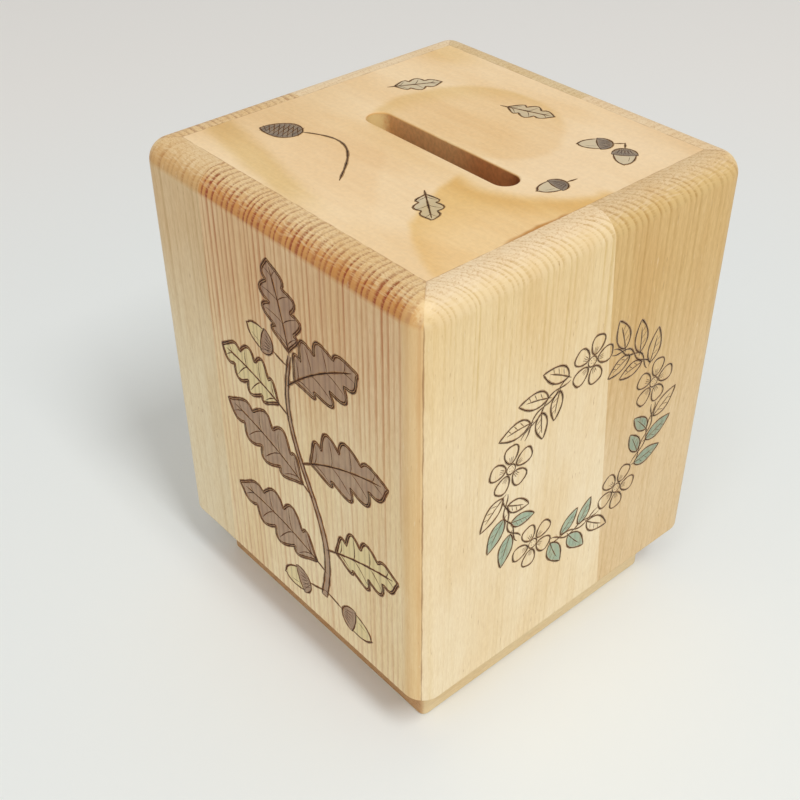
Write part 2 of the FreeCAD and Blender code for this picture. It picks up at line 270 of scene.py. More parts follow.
def make_glue_lines():
    """Brown hairlines that come and go where the mitres meet and where the lid meets the walls.

    Place is in mm, and Up is how far the surface faces upwards. Worn And Highlight is where sanding has
    crushed the fibres pale on the rounded corner at the top of each mitre, together with a painted
    highlight there.
    """
    nodes, given, result = new_group(
        "glue lines",
        {"Vector": ["Place"], "Float": ["Up", "Inside", "Lid Face"]},
        {"Float": ["Mask", "Worn And Highlight"]},
    )
    place = given["Place"]
    up = given["Up"]
    parts = nodes.parts(nodes.vector("ABSOLUTE", place, (0, 0, 0)))
    outermost = nodes.math("MAXIMUM", parts[0], parts[1])
    width = nodes.cloud(place, (0.25, 0.25, 0.10), 3.0, 0.32, 0.68, 0.0, 0.2)
    wobble = nodes.swing(place, (0.6, 0.6, 0.3), 3.0, 0.55)
    from_mitre = nodes.sum(nodes.minus(parts[0], parts[1]), wobble)
    from_mitre = nodes.math("ABSOLUTE", from_mitre)
    on_mitre = nodes.eased(nodes.minus(from_mitre, width), -0.1, 0.3, 1.0, 0.0)
    on_mitre = nodes.times(on_mitre, nodes.math("GREATER_THAN", outermost, given["Inside"]))
    upright = nodes.eased(up, 0.05, 0.25, 1.0, 0.0)
    flat = nodes.eased(up, 0.8, 0.98, 0.0, 0.45)
    on_mitre = nodes.times(on_mitre, nodes.math("MAXIMUM", upright, flat))
    # crushed pale fibres and a painted highlight on the rounded top of each mitre
    crumbs = nodes.swing(place, (1.6, 1.6, 1.6), 3.0, 7.0)
    crushed_and_highlight = nodes.eased(nodes.sum(from_mitre, crumbs), 0.6, 3.6, 1.0, 0.0)
    rounded = nodes.minus(nodes.eased(up, 0.1, 0.35), nodes.eased(up, 0.8, 0.97))
    from_joint = nodes.math("ABSOLUTE", nodes.minus(outermost, given["Inside"]))
    on_joint = nodes.eased(nodes.minus(from_joint, width), -0.06, 0.03, 0.5, 0.0)
    on_top = nodes.math("GREATER_THAN", parts[2], nodes.minus(given["Lid Face"], 0.5))
    mask = nodes.math("MAXIMUM", on_mitre, nodes.times(on_joint, on_top))
    nodes.feed(result, {"Mask": mask, "Worn And Highlight": nodes.times(crushed_and_highlight, rounded)})
    return nodes.tree


def make_lid_figure():
    """The figure of the flat-sawn lid.

    A golden heart, a golden tongue from its right, softer patches round them, a fine mottle, and the
    walls of the slot, browned by the router's burn, with painted shade darker to the right, a paler left
    end where painted light falls, and a painted highlight along the upper edge.
    """
    nodes, given, result = new_group(
        "lid figure",
        {"Vector": ["Place"], "Float": ["Up"], "Color": ["Color"]},
        {"Color": ["Color"]},
    )
    place = given["Place"]
    colour = given["Color"]
    stretched = nodes.vector("MULTIPLY", place, (0.05, 0.08, 0.0))
    warp = nodes.add("ShaderNodeTexNoise", {"Vector": stretched, "Scale": 1.0, "Detail": 3.0}, "Color")
    sway = nodes.vector("MULTIPLY", nodes.vector("SUBTRACT", warp, (0.5, 0.5, 0.5)), (6.0, 5.0, 0.0))
    swayed = nodes.vector("ADD", place, sway)
    swayed_x, swayed_y, _ = nodes.parts(swayed)

    def inside(centre, radii, edge):
        """1 inside a round patch, 0 outside it, with a soft edge in mm."""
        spread = nodes.vector("SUBTRACT", swayed, (*centre, 0.0))
        spread = nodes.vector("MULTIPLY", spread, (1 / radii[0], 1 / radii[1], 0.0))
        reach = nodes.times(nodes.length(spread), min(radii))
        return nodes.eased(reach, min(radii) - edge, min(radii) + edge, 1.0, 0.0)

    def outside(*patch):
        return nodes.minus(1.0, inside(*patch))

    pale = inside((30.0, 24.0), (18.0, 22.0), 8.0)
    colour = nodes.mix(nodes.times(pale, 0.35), colour, srgb(248, 225, 190))
    cut_off = nodes.minus(swayed_y, nodes.times(swayed_x, 0.78))
    heart = nodes.times(inside((-3.0, 12.0), (24.0, 24.0), 1.6), nodes.eased(cut_off, -8.0, -5.0))
    heart = nodes.times(heart, nodes.eased(swayed_y, -9.0, -4.0))
    crescent = nodes.times(heart, outside((3.0, 9.0), (24.0, 24.0), 4.0))
    tongue = inside((55.0, -4.0), (40.0, 40.0), 1.3)
    tongue = nodes.times(tongue, outside((21.0, 16.0), (23.0, 25.0), 2.4))
    tongue = nodes.times(tongue, nodes.eased(swayed_y, 9.0, 14.0, 1.0, 0.0))
    rim = nodes.times(tongue, outside((56.0, -24.0), (26.0, 22.0), 7.0))
    upper_rim = nodes.times(tongue, inside((21.0, 16.0), (29.0, 31.0), 5.0))
    slope = nodes.sum(swayed_y, nodes.times(swayed_x, 0.17))
    stripe = nodes.eased(nodes.math("ABSOLUTE", nodes.sum(slope, 42.0)), 1.5, 6.0, 1.0, 0.0)
    stripe = nodes.times(stripe, nodes.eased(swayed_x, -8.0, 12.0, 1.0, 0.0))
    wedge = nodes.eased(nodes.sum(swayed_x, swayed_y), -20.0, -16.0, 1.0, 0.3)
    front = nodes.times(inside((-2.0, -25.0), (28.0, 12.0), 6.0), wedge)
    for patch, tint in (
        (heart, (249, 243, 231)),
        (crescent, (249, 247, 232)),
        (inside((4.0, -8.5), (26.0, 4.0), 3.0), (251, 248, 240)),
        (tongue, (252, 245, 226)),
        (rim, (247, 240, 216)),
        (upper_rim, (247, 240, 222)),
        (stripe, (239, 231, 203)),
        (inside((-42.0, 41.0), (11.0, 6.0), 4.0), (246, 238, 214)),
        (inside((46.0, 46.0), (22.0, 9.0), 6.0), (246, 240, 231)),
        (inside((-50.0, -16.0), (20.0, 24.0), 9.0), (245, 239, 228)),
        (front, (250, 244, 236)),
        (inside((45.2, -11.0), (1.7, 11.0), 0.5), (206, 172, 116)),
    ):
        colour = nodes.tinted(colour, srgb(*tint), patch)
    mottle = nodes.cloud(place, (0.9, 0.9, 0.9), 4.0, 0.3, 0.7, 0.972, 1.028)
    colour = nodes.tinted(colour, mottle)

    # the slot's walls: router burn with painted shade darker to the right, painted light on the pale left
    # end and a painted highlight along the upper edge
    along, _, height = nodes.parts(place)
    wall = nodes.eased(nodes.math("ABSOLUTE", given["Up"]), 0.2, 0.9, 1.0, 0.0)
    burn_and_shade = nodes.mix(nodes.eased(along, 0.0, 14.0), srgb(236, 182, 122), srgb(216, 143, 86))
    burn_and_shade = nodes.mix(nodes.eased(along, 20.0, 26.0), burn_and_shade, srgb(160, 88, 46))
    chatter = nodes.cloud(place, (1.0, 1.0, 0.8), 4.0, 0.3, 0.7, 0.86, 1.06)
    burn_and_shade = nodes.tinted(burn_and_shade, chatter)
    ragged = nodes.sum(along, nodes.swing(place, (0.7, 0.7, 0.7), 3.0, 5.0))
    # painted light: the left end of the slot, which faces the lamp, paler
    burn_and_shade = nodes.mix(nodes.eased(ragged, -23.6, -20.6), srgb(252, 222, 156), burn_and_shade)
    # painted highlight along the slot's upper edge
    edge_highlight = nodes.eased(height, LID_FACE - 0.7, LID_FACE - 0.2)
    burn_and_shade = nodes.mix(edge_highlight, burn_and_shade, srgb(232, 180, 104))
    nodes.feed(result, {"Color": nodes.mix(wall, colour, burn_and_shade)})
    return nodes.tree


PINE_BOARD = make_pine_board()
GLUE_LINES = make_glue_lines()
LID_FIGURE = make_lid_figure()
PLAIN = (255, 255, 255)
FAR_OFF = 10000.0
SANDING_ALONG = 0.45
SANDING_ACROSS = 2.6
CRUSHED_PALE_HIGHLIGHT = srgb(244, 216, 162)
GLUE_BROWN = srgb(150, 96, 44)
GRAIN_RELIEF = 0.08 * MM

# for each axis that the fibres can follow: its direction, and the turn that brings it to Z
FIBRES = {
    "X": ((1.0, 0.0, 0.0), (0.0, radians(-90), 0.0)),
    "Y": ((0.0, 1.0, 0.0), (radians(90), 0.0, 0.0)),
    "Z": ((0.0, 0.0, 1.0), (0.0, 0.0, 0.0)),
}

# the look of a board where it doesn't say otherwise
PLAIN_LOOK = dict(
    ring_width=2.0, evenness=0.5, flecks=0.5, grit=0.4, sapwood=FAR_OFF, sapwood_colour=PLAIN,
    shade_from=FAR_OFF, shade_tint=PLAIN)


def pine(name, heart, fibres="Z", edge="X", stretch=0.0, figure=None, stain=None, strength=0.0, **look):
    """Oiled pine.

    heart is the place of the log's heart in mm, fibres the axis that the fibres follow, and edge the axis
    along which its rounded edge was sanded. stretch is how much the rings change along the fibres.
    look goes to the pine board, with colours from 0 to 255. A stain covers the wood by its strength, and
    the late wood shows through it.
    """
    look = dict(PLAIN_LOOK, round_early=look["early"], round_late=look["late"]) | look
    material, nodes, shader = new_material(name)
    surface = nodes.outputs("ShaderNodeTexCoord")
    place = surface["Object"]
    along, turned = FIBRES[fibres]
    grain = nodes.add("ShaderNodeMapping", {"Vector": place, "Rotation": turned, "Scale": TO_MM})
    across = [1.0 if a == 0.0 else stretch for a in along]
    offset = [-h * a for h, a in zip(heart, across)]
    scale = [a / MM for a in across]
    rings = nodes.add("ShaderNodeMapping", {"Vector": place, "Location": offset, "Scale": scale})
    strokes = [(SANDING_ALONG if axis == edge else SANDING_ACROSS) / MM for axis in "XYZ"]
    sanded = nodes.add("ShaderNodeMapping", {"Vector": place, "Scale": strokes})
    end = nodes.math("ABSOLUTE", nodes.vector("DOT_PRODUCT", surface["Normal"], along, 1))
    inputs = {"Rings": rings, "Grain": grain, "Sanded": sanded, "End": end}
    for key, value in look.items():
        socket = key.replace("_", " ").title()
        inputs[socket] = srgb(*value) if isinstance(value, tuple) else value
    board = nodes.group(PINE_BOARD, inputs)
    colour = board["Color"]
    in_mm = nodes.vector("MULTIPLY", place, TO_MM)
    up = nodes.parts(surface["Normal"])[2]
    if figure:
        colour = nodes.group(figure, {"Place": in_mm, "Up": up, "Color": colour})["Color"]
    around = {"Place": in_mm, "Up": up, "Inside": LID_HIGH.x / MM, "Lid Face": LID_FACE}
    lines = nodes.group(GLUE_LINES, around)
    # pale crushed fibres and a painted highlight on the rounded top of each mitre
    colour = nodes.mix(nodes.times(lines["Worn And Highlight"], 0.6), colour, CRUSHED_PALE_HIGHLIGHT)
    colour = nodes.mix(nodes.times(lines["Mask"], 0.7), colour, GLUE_BROWN)
    if stain:
        through = nodes.eased(board["Late Wood"], 0.0, 1.0, 1.0, 0.72)
        taken_up = nodes.noise(in_mm, (0.5, 0.5, 0.3), 3.0)
        soaked = nodes.eased(taken_up, 0.3, 0.7, 0.85 * strength, strength)
        colour = nodes.mix(soaked, colour, nodes.tinted(srgb(*stain), through))
    nodes.feed(shader, {
        "Base Color": colour, "Roughness": board["Roughness"], "Specular IOR Level": 0.45,
        "Normal": nodes.bump(0.35, GRAIN_RELIEF, board["Height"])})
    return material


# one board of the log for each look of stave, then the lid, the base and the corner blocks
# the tint above a height on the front and right staves is painted shade, darker towards the top
PALE_FRONT = dict(
    heart=(-170, -20, 0), evenness=0.4, flecks=0.9,
    early=(241, 222, 183), late=(221, 195, 147),
    round_early=(216, 174, 114), round_late=(192, 141, 80),
    end_early=(229, 200, 152), end_late=(210, 172, 120),
    shade_from=70.0, shade_tint=(241, 226, 208))
RED_FRONT = dict(
    heart=(-175, -24, 0), evenness=0.6,
    early=(249, 227, 182), late=(206, 148, 93),
    round_early=(210, 150, 80), round_late=(150, 58, 6),
    end_early=(231, 200, 148), end_late=(148, 82, 28),
    sapwood=222.9, sapwood_colour=(236, 200, 140),
    shade_from=70.0, shade_tint=(240, 224, 211))
CREAM_RIGHT = dict(
    heart=(-100, 125, 0), edge="Y", ring_width=1.24, evenness=0.45, flecks=0.9, grit=0.3,
    early=(248, 228, 190), late=(234, 209, 158),
    round_early=(239, 213, 165), round_late=(219, 187, 130),
    end_early=(239, 215, 177), end_late=(209, 177, 128),
    shade_from=72.0, shade_tint=(246, 237, 215))
TAN_RIGHT = dict(
    heart=(-90, 146, 0), edge="Y", ring_width=1.43, evenness=0.45, flecks=0.7,
    early=(231, 203, 157), late=(211, 177, 119),
    round_early=(218, 185, 124), round_late=(189, 148, 82),
    end_early=(222, 193, 147), end_late=(187, 151, 103),
    shade_from=60.0, shade_tint=(243, 231, 197))
PALE_BACK = dict(
    heart=(190, 40, 0), ring_width=2.1, early=(241, 218, 174), late=(226, 198, 148),
    end_early=(238, 214, 176), end_late=(216, 184, 138))
GOLDEN_BACK = dict(
    heart=(190, 60, 0), ring_width=1.8, early=(230, 204, 154), late=(211, 178, 124),
    end_early=(223, 198, 151), end_late=(197, 165, 116))
RED_LEFT = dict(RED_FRONT, heart=(-24, 175, 0), edge="Y", sapwood=FAR_OFF)
LID = dict(
    heart=(0, 30, -400), fibres="X", ring_width=40.0, flecks=0.3, grit=0.1, figure=LID_FIGURE,
    early=(246, 218, 174), late=(240, 209, 163),
    end_early=(226, 190, 130), end_late=(190, 140, 90))
BASE = dict(
    heart=(30, 0, -60), fibres="Y", stretch=0.1, ring_width=3.2, evenness=0.3,
    early=(236, 212, 166), late=(222, 194, 144),
    # darker, redder end grain, partly painted shade of the recess under the walls' overhang
    end_early=(206, 160, 108), end_late=(172, 120, 74))
BLOCK = dict(
    heart=(80, 60, 0), ring_width=2.6, early=(230, 205, 158), late=(210, 176, 120),
    end_early=(224, 192, 140), end_late=(190, 150, 98))

for label, board, *dressed in (
    ("pale front pine", PALE_FRONT, "front_wall_left_stave"),
    ("red front pine", RED_FRONT, "front_wall_right_stave"),
    ("cream right pine", CREAM_RIGHT, "right_wall_left_stave"),
    ("tan right pine", TAN_RIGHT, "right_wall_right_stave"),
    ("pale back pine", PALE_BACK, "back_wall_left_stave", "left_wall_left_stave"),
    ("golden back pine", GOLDEN_BACK, "back_wall_right_stave"),
    ("red left pine", RED_LEFT, "left_wall_right_stave"),
    ("lid pine", LID, "lid_panel"),
    ("base pine", BASE, "base_block"),
    ("block pine", BLOCK, *(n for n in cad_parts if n.startswith("corner_block"))),
):
    material = pine(label, **board)
    for node in dressed:
        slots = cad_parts[node].data.materials
        slots.clear()
        slots.append(material)


def new_object(name, data):
    """An object of some data, in the scene."""
    thing = bpy.data.objects.new(name, data)
    bpy.context.scene.collection.objects.link(thing)
    return thing


def deselect():
    bpy.ops.object.select_all(action="DESELECT")


def select_only(piece):
    deselect()
    piece.select_set(True)
    bpy.context.view_layer.objects.active = piece


def edit_all():
    """Start editing the active piece, with all of it selected."""
    bpy.ops.object.mode_set(mode="EDIT")
    bpy.ops.mesh.select_all(action="SELECT")


def face_outwards():
    """Turn all faces of the piece being edited outwards, and end the editing."""
    bpy.ops.mesh.select_all(action="SELECT")
    bpy.ops.mesh.normals_make_consistent(inside=False)
    bpy.ops.object.mode_set(mode="OBJECT")


SCRATCH_RELIEF = 0.03 * MM
SCREW_SIDES = 40
SCREW_HEAD = 3.5 * MM
SCREW_RIM = 0.3 * MM
SCREW_NECK = 1.75 * MM
NECK_HEIGHT = 2.05 * MM
SCREW_SHANK = 1.45 * MM
SHANK_START = 2.8 * MM
SCREW_CORE = 1.2 * MM
SCREW_CREST = 1.75 * MM
THREAD_STEPS = 24
THREAD_PITCH = 1.6 * MM
THREAD_START = 13.5 * MM
THREAD_SUNK = 0.15 * MM
HALF_THREAD = 0.36 * MM
POINT_START = 35.0 * MM
POINT_END = 0.06 * MM
SCREW_LENGTH = 40.0 * MM
RECESS_ACROSS = 4.2 * MM
RECESS_BLADE = 0.8 * MM
RECESS_DEPTH = 1.6 * MM
DRIVEN_TO = dict(front_left=12, front_right=55, back_right=78, back_left=33)


def make_zinc():
    """Bright zinc plating, a little cloudy, with fine scratches from the driver."""
    material, nodes, shader = new_material("bright zinc")
    place = nodes.outputs("ShaderNodeTexCoord")["Object"]
    haze = nodes.cloud(place, (900.0, 900.0, 900.0), 3.0, 0.3, 0.7)
    scratch = nodes.noise(place, (9000.0, 1500.0, 1500.0), 3.0)
    nodes.feed(shader, {
        "Base Color": nodes.mix(haze, srgb(206, 204, 196), srgb(184, 186, 188)),
        "Roughness": nodes.eased(scratch, 0.3, 0.7, 0.26, 0.48), "Metallic": 1.0,
        "Normal": nodes.bump(0.2, SCRATCH_RELIEF, scratch)})
    return material


def make_screw_blank():
    """Head, shank and core, drawn out of the head's face one ring at a time, with a cross recess."""
    deselect()
    bpy.ops.mesh.primitive_circle_add(vertices=SCREW_SIDES, radius=SCREW_HEAD, fill_type="NGON")
    blank = bpy.context.object
    edit_all()
    height, width = 0.0, SCREW_HEAD
    for next_height, next_width in (
        (SCREW_RIM, SCREW_HEAD),
        (NECK_HEIGHT, SCREW_NECK),
        (SHANK_START, SCREW_SHANK),
        (THREAD_START - THREAD_PITCH, SCREW_SHANK),
        (THREAD_START, SCREW_CORE),
        (POINT_START, SCREW_CORE),
        (SCREW_LENGTH, POINT_END),
    ):
        rise = (0, 0, next_height - height)
        bpy.ops.mesh.extrude_region_move(TRANSFORM_OT_translate={"value": rise})
        shrink = next_width / width
        bpy.ops.transform.resize(value=(shrink, shrink, 1.0))
        height, width = next_height, next_width
    face_outwards()
    for turn in (0.0, radians(90)):
        deselect()
        bpy.ops.mesh.primitive_cube_add(size=1.0, rotation=(0, 0, turn))
        blade = bpy.context.object
        blade.scale = (RECESS_ACROSS, RECESS_BLADE, 2 * RECESS_DEPTH)
        cut = blank.modifiers.new("recess", "BOOLEAN")
        cut.operation = "DIFFERENCE"
        cut.object = blade
        select_only(blank)
        bpy.ops.object.modifier_apply(modifier=cut.name)
        bpy.data.objects.remove(blade)
    return blank


def make_thread():
    """A sharp helical ridge that rises from the shank and runs out along the point."""
    deselect()
    bpy.ops.mesh.primitive_circle_add(vertices=3, radius=MM)
    thread = bpy.context.object
    root = SCREW_CORE - THREAD_SUNK
    corners = ((root, -HALF_THREAD), (SCREW_CREST, 0.0), (root, HALF_THREAD))
    for vertex, (out, height) in zip(thread.data.vertices, corners):
        vertex.co = (out, 0.0, THREAD_START - THREAD_PITCH / 2 + height)
    wind = thread.modifiers.new("wind", "SCREW")
    wind.axis = "Z"
    wind.steps = THREAD_STEPS
    wind.render_steps = THREAD_STEPS
    wind.screw_offset = THREAD_PITCH
    wind.iterations = int((SCREW_LENGTH - THREAD_START) / THREAD_PITCH)
    bpy.ops.object.modifier_apply(modifier=wind.name)
    edit_all()
    bpy.ops.mesh.fill_holes(sides=3)
    face_outwards()
    for vertex in thread.data.vertices:
        out = hypot(vertex.co.x, vertex.co.y)
        rise = min(1.0, max(0.0, (vertex.co.z - THREAD_START + THREAD_PITCH) / THREAD_PITCH))
        left = min(1.0, max(0.0, (SCREW_LENGTH - vertex.co.z) / (SCREW_LENGTH - POINT_START)))
        wanted = root * left + (out - root) * rise * (0.35 + 0.65 * left)
        vertex.co.x *= wanted / out
        vertex.co.y *= wanted / out
    return thread


def make_screws():
    """Four threaded screws in the places of the plain ones, each driven to its own angle."""
    screw = make_screw_blank()
    thread = make_thread()
    select_only(screw)
    thread.select_set(True)
    bpy.ops.object.join()
    bpy.ops.object.shade_smooth_by_angle(angle=radians(35))
    screw.data.materials.append(make_zinc())
    for corner, angle in DRIVEN_TO.items():
        node = f"base_screw_{corner}"
        low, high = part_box(node)
        piece = new_object(f"threaded_screw_{corner}", screw.data.copy())
        middle = (low + high) / 2
        turned = Matrix.Rotation(radians(angle), 4, "Z")
        piece.matrix_world = Matrix.Translation((middle.x, middle.y, low.z)) @ turned
        select_only(piece)
        bpy.ops.object.transform_apply()
        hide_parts(node)
        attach(piece, node)
    bpy.data.objects.remove(screw)


CHAR_RELIEF = 0.05 * MM


def make_burnt():
    """The dark line of a hot pen, browner where the pen moved faster."""
    material, nodes, shader = new_material("burnt line")
    place = nodes.vector("MULTIPLY", nodes.outputs("ShaderNodeTexCoord")["Object"], TO_MM)
    heat = nodes.cloud(place, (0.45, 0.45, 0.45), 3.0, 0.3, 0.7)
    char = nodes.noise(place, (5.0, 5.0, 5.0), 2.0)
    colour = nodes.mix(heat, srgb(98, 60, 32), srgb(50, 30, 18))
    nodes.feed(shader, {
        "Base Color": nodes.tinted(colour, nodes.eased(char, 0.2, 0.8, 0.8, 1.15)),
        "Roughness": nodes.eased(char, 0.2, 0.8, 0.7, 0.9), "Specular IOR Level": 0.2,
        "Normal": nodes.bump(0.3, CHAR_RELIEF, char)})
    return material


BURNT = make_burnt()
LINE_STEP = 0.8
LINE_FLATNESS = 0.06
LINE_LIFT = 0.012 * MM
SCORCH_SPREAD = 2.4
SCORCH_FLATNESS = 0.02
SCORCH_LIFT = 0.004 * MM
SCORCH = dict(stain=(150, 102, 58), strength=0.5)
STAIN_THICKNESS = 0.006 * MM
WELD_WITHIN = 0.001 * MM
CONTOUR_GAP = 0.55

# widths of the burnt lines in mm, for a pen of 1
STALK_PEN = 0.42
LEAF_PEN = 0.40
PETAL_PEN = 0.38
OUTLINE_PEN = 0.36
CONTOUR_PEN = 0.34
SCALE_PEN = 0.30
VEIN_PEN = 0.26
SHADE_PEN = 0.22
SHINE_PEN = 0.20
HATCH_PEN = 0.18

X_AXIS = Vector((1, 0, 0))
Y_AXIS = Vector((0, 1, 0))
Z_AXIS = Vector((0, 0, 1))
QUARTERS = (0, 0.25, 0.5, 0.75, 1)


def evenly(points, closed=False):
    """The points of a path, spread evenly along it."""
    path = list(points) + ([points[0]] if closed else [])
    lengths = [dist(a, b) for a, b in zip(path, path[1:])]
    total = sum(lengths)
    count = max(3, round(total / LINE_STEP))
    spread = []
    leg, walked = 0, 0.0
    for step in range(count + (0 if closed else 1)):
        wanted = total * step / count
        while leg < len(lengths) - 1 and walked + lengths[leg] < wanted:
            walked += lengths[leg]
            leg += 1
        share = (wanted - walked) / lengths[leg] if lengths[leg] else 0.0
        (ax, ay), (bx, by) = path[leg], path[leg + 1]
        spread.append((ax + (bx - ax) * share, ay + (by - ay) * share))
    return spread


def beside(points, distance):
    """A closed path at a distance to the left of another one."""
    moved = []
    for index, (x, y) in enumerate(points):
        before = points[index - 1]
        after = points[(index + 1) % len(points)]
        along = atan2(after[1] - before[1], after[0] - before[0])
        moved.append((x - distance * sin(along), y + distance * cos(along)))
    return moved


def laid(points, at, turn=0.0, curl=0.0):
    """Points drawn along +X from the origin, curled to the left, turned by degrees and moved."""
    right, up = cos(radians(turn)), sin(radians(turn))
    bent = [(x, y + curl * x * x) for x, y in points]
    return [(at[0] + x * right - y * up, at[1] + x * up + y * right) for x, y in bent]


def trace(curve, path, closed):
    """Add a path in mm to a curve and return its points."""
    spline = curve.splines.new("POLY")
    spline.points.add(len(path) - 1)
    spline.use_cyclic_u = closed
    for point, (x, y) in zip(spline.points, path):
        point.co = (x * MM, y * MM, 0.0, 1.0)
    return spline.points


def as_mesh(curve):
    """A mesh piece made of a curve, with the curve's name."""
    select_only(new_object(curve.name, curve))
    bpy.ops.object.convert(target="MESH")
    return bpy.context.object


class Drawing:
    """Burnt lines and stained shapes on one face of the box.

    They are in mm, with X to the right and Y up on that face.
    """

    def __init__(self, name, corner, right, up, slot, pen=1.0):
        self.name = name
        self.slot = slot
        self.pen = pen
        axes = Matrix((right, up, right.cross(up))).transposed().to_4x4()
        self.face = Matrix.Translation(corner) @ axes
        self.lines = []
        self.stains = {}

    def line(self, points, width=OUTLINE_PEN, closed=False):
        path = evenly(points, closed)
        last = len(path) - 1
        widths = []
        for index in range(len(path)):
            pressure = 1.0 + 0.16 * sin(0.9 * index) + 0.10 * sin(2.3 * index + len(path))
            from_end = min(index, last - index) * LINE_STEP
            taper = 1.0 if closed else min(1.0, 0.35 + 0.26 * from_end)
            widths.append(self.pen * width / 2 * pressure * taper)
        self.lines.append((path, widths, closed))

    def contour(self, outline):
        """A closed line gone over twice, so that it parts into two here and there."""
        path = evenly(outline, True)
        for side in (-0.5, 0.5):
            self.line(beside(path, side * CONTOUR_GAP), CONTOUR_PEN, True)

    def stain(self, name, outline):
        self.stains.setdefault(name, []).append(outline)

    def place(self, piece, material, lift=0.0):
        """Bring a finished flat piece from the drawing board to its face."""
        select_only(piece)
        piece.matrix_world = self.face @ Matrix.Translation((0.0, 0.0, lift))
        bpy.ops.object.transform_apply()
        piece.data.materials.clear()
        piece.data.materials.append(material)
        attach(piece, "box")

    def stroke(self, name, material, spread, flatness, lift):
        """Turn the lines into one flat piece with tapered ends."""
        curve = bpy.data.curves.new(f"{self.name}_{name}", "CURVE")
        curve.dimensions = "3D"
        curve.twist_mode = "Z_UP"
        curve.bevel_depth = MM
        curve.bevel_resolution = 0
        curve.use_fill_caps = True
        for path, widths, closed in self.lines:
            for point, width in zip(trace(curve, path, closed), widths):
                point.radius = width * spread
        piece = as_mesh(curve)
        piece.scale = (1.0, 1.0, flatness)
        bpy.ops.object.transform_apply()
        self.place(piece, material, lift)

    def burn(self, label, board):
        """Make the burnt lines, and the scorched wood of a board on both sides of them."""
        scorched = pine(label, **board, **SCORCH)
        self.stroke("lines", BURNT, 1.0, LINE_FLATNESS, LINE_LIFT)
        self.stroke("scorch", scorched, SCORCH_SPREAD, SCORCH_FLATNESS, SCORCH_LIFT)

    def soak(self, name, label, board, stain, strength):
        """Turn the outlines of one stain into a thin plate of a board's stained wood."""
        curve = bpy.data.curves.new(f"{self.name}_{name}", "CURVE")
        curve.dimensions = "2D"
        curve.fill_mode = "BOTH"
        curve.extrude = STAIN_THICKNESS
        for outline in self.stains[name]:
            trace(curve, evenly(outline, True), True)
        piece = as_mesh(curve)
        edit_all()
        bpy.ops.mesh.remove_doubles(threshold=WELD_WITHIN)
        face_outwards()
        self.place(piece, pine(label, **board, stain=stain, strength=strength))


STEPS_PER_LOBE = 16


def oak_leaf_edge(length, width, lobes, shift):
    """One edge of an oak leaf, from the stalk to the tip, as places along and out from the middle rib."""
    edge = []
    steps = STEPS_PER_LOBE * lobes
    for step in range(steps + 1):
        share = step / steps
        spread = sin(pi * share ** 0.8) ** 0.75 if 0 < share < 1 else 0.0
        lobe = abs(sin(pi * (lobes * share + shift))) ** 0.8
        along = length * (share + 0.06 * lobe * (1 - share))
        edge.append((along, width / 2 * spread * (0.50 + 0.50 * lobe)))
    return edge


def oak_leaf(drawing, at, turn, length, width, stalk, lobes, curl, stain, contour):
    """A lobed leaf with its foot at a place, a stalk behind it, veins, and a stain inside."""
    upper = oak_leaf_edge(length, width, lobes, 0.0)
    lower = [(x, -y) for x, y in oak_leaf_edge(length, width, lobes, 0.12)]
    outline = laid(upper + lower[-2:0:-1], at, turn, curl)
    if contour:
        drawing.contour(outline)
    else:
        drawing.line(outline, OUTLINE_PEN, True)
    drawing.stain(stain, outline)
    rib = [(-stalk + (0.92 * length + stalk) * step / 14, 0.0) for step in range(15)]
    drawing.line(laid(rib, at, turn, curl), STALK_PEN)
    for number in range(lobes):
        start = length * (number + 0.22) / lobes
        for edge in (upper, lower):
            tip_x, tip_y = edge[STEPS_PER_LOBE * number + 9]
            vein = []
            for s in QUARTERS:
                bend = (0.25 * s + 0.75 * s * s) * 0.82
                vein.append((start + (tip_x - start) * s, tip_y * bend))
            drawing.line(laid(vein, at, turn, curl), VEIN_PEN)


def acorn(drawing, at, turn, size, stalk, nut_stain, cup_stain):
    """An acorn with its cup at a place, a stalk behind it and a hatched cup."""
    def spot(x, y):
        return x * size, y * size

    turns = [pi * step / 24 for step in range(25)]
    nut = [spot(0.38 + 0.62 * sin(a), 0.31 * cos(a)) for a in turns]
    nut.insert(13, spot(1.07, 0.0))
    cup = [spot(0.42 - 0.40 * sin(a), 0.37 * cos(a)) for a in turns]
    eighths = [step / 8 for step in range(9)]
    rim = [spot(0.42 + 0.05 * sin(pi * s), -0.37 + 0.74 * s) for s in eighths]
    for edge in (nut, cup, rim):
        drawing.line(laid(edge, at, turn))
    drawing.stain(nut_stain, laid(nut + rim, at, turn))
    drawing.stain(cup_stain, laid(cup + rim, at, turn))
    for row in range(-2, 3):
        for lean in (-1, 1):
            slope = []
            for s in (0, 0.5, 1):
                fanned = 0.13 * row * (0.4 + 0.6 * s)
                slope.append(spot(0.06 + 0.34 * s, fanned + lean * 0.07 * (s - 0.5)))
            drawing.line(laid(slope, at, turn), HATCH_PEN)
    shine = [spot(0.52 + 0.30 * s, 0.14 - 0.05 * s * s) for s in QUARTERS]
    drawing.line(laid(shine, at, turn), SHINE_PEN)
    stem = [(-stalk * s, 0.1 * stalk * s * (1 - s)) for s in QUARTERS]
    drawing.line(laid(stem, at, turn), STALK_PEN)


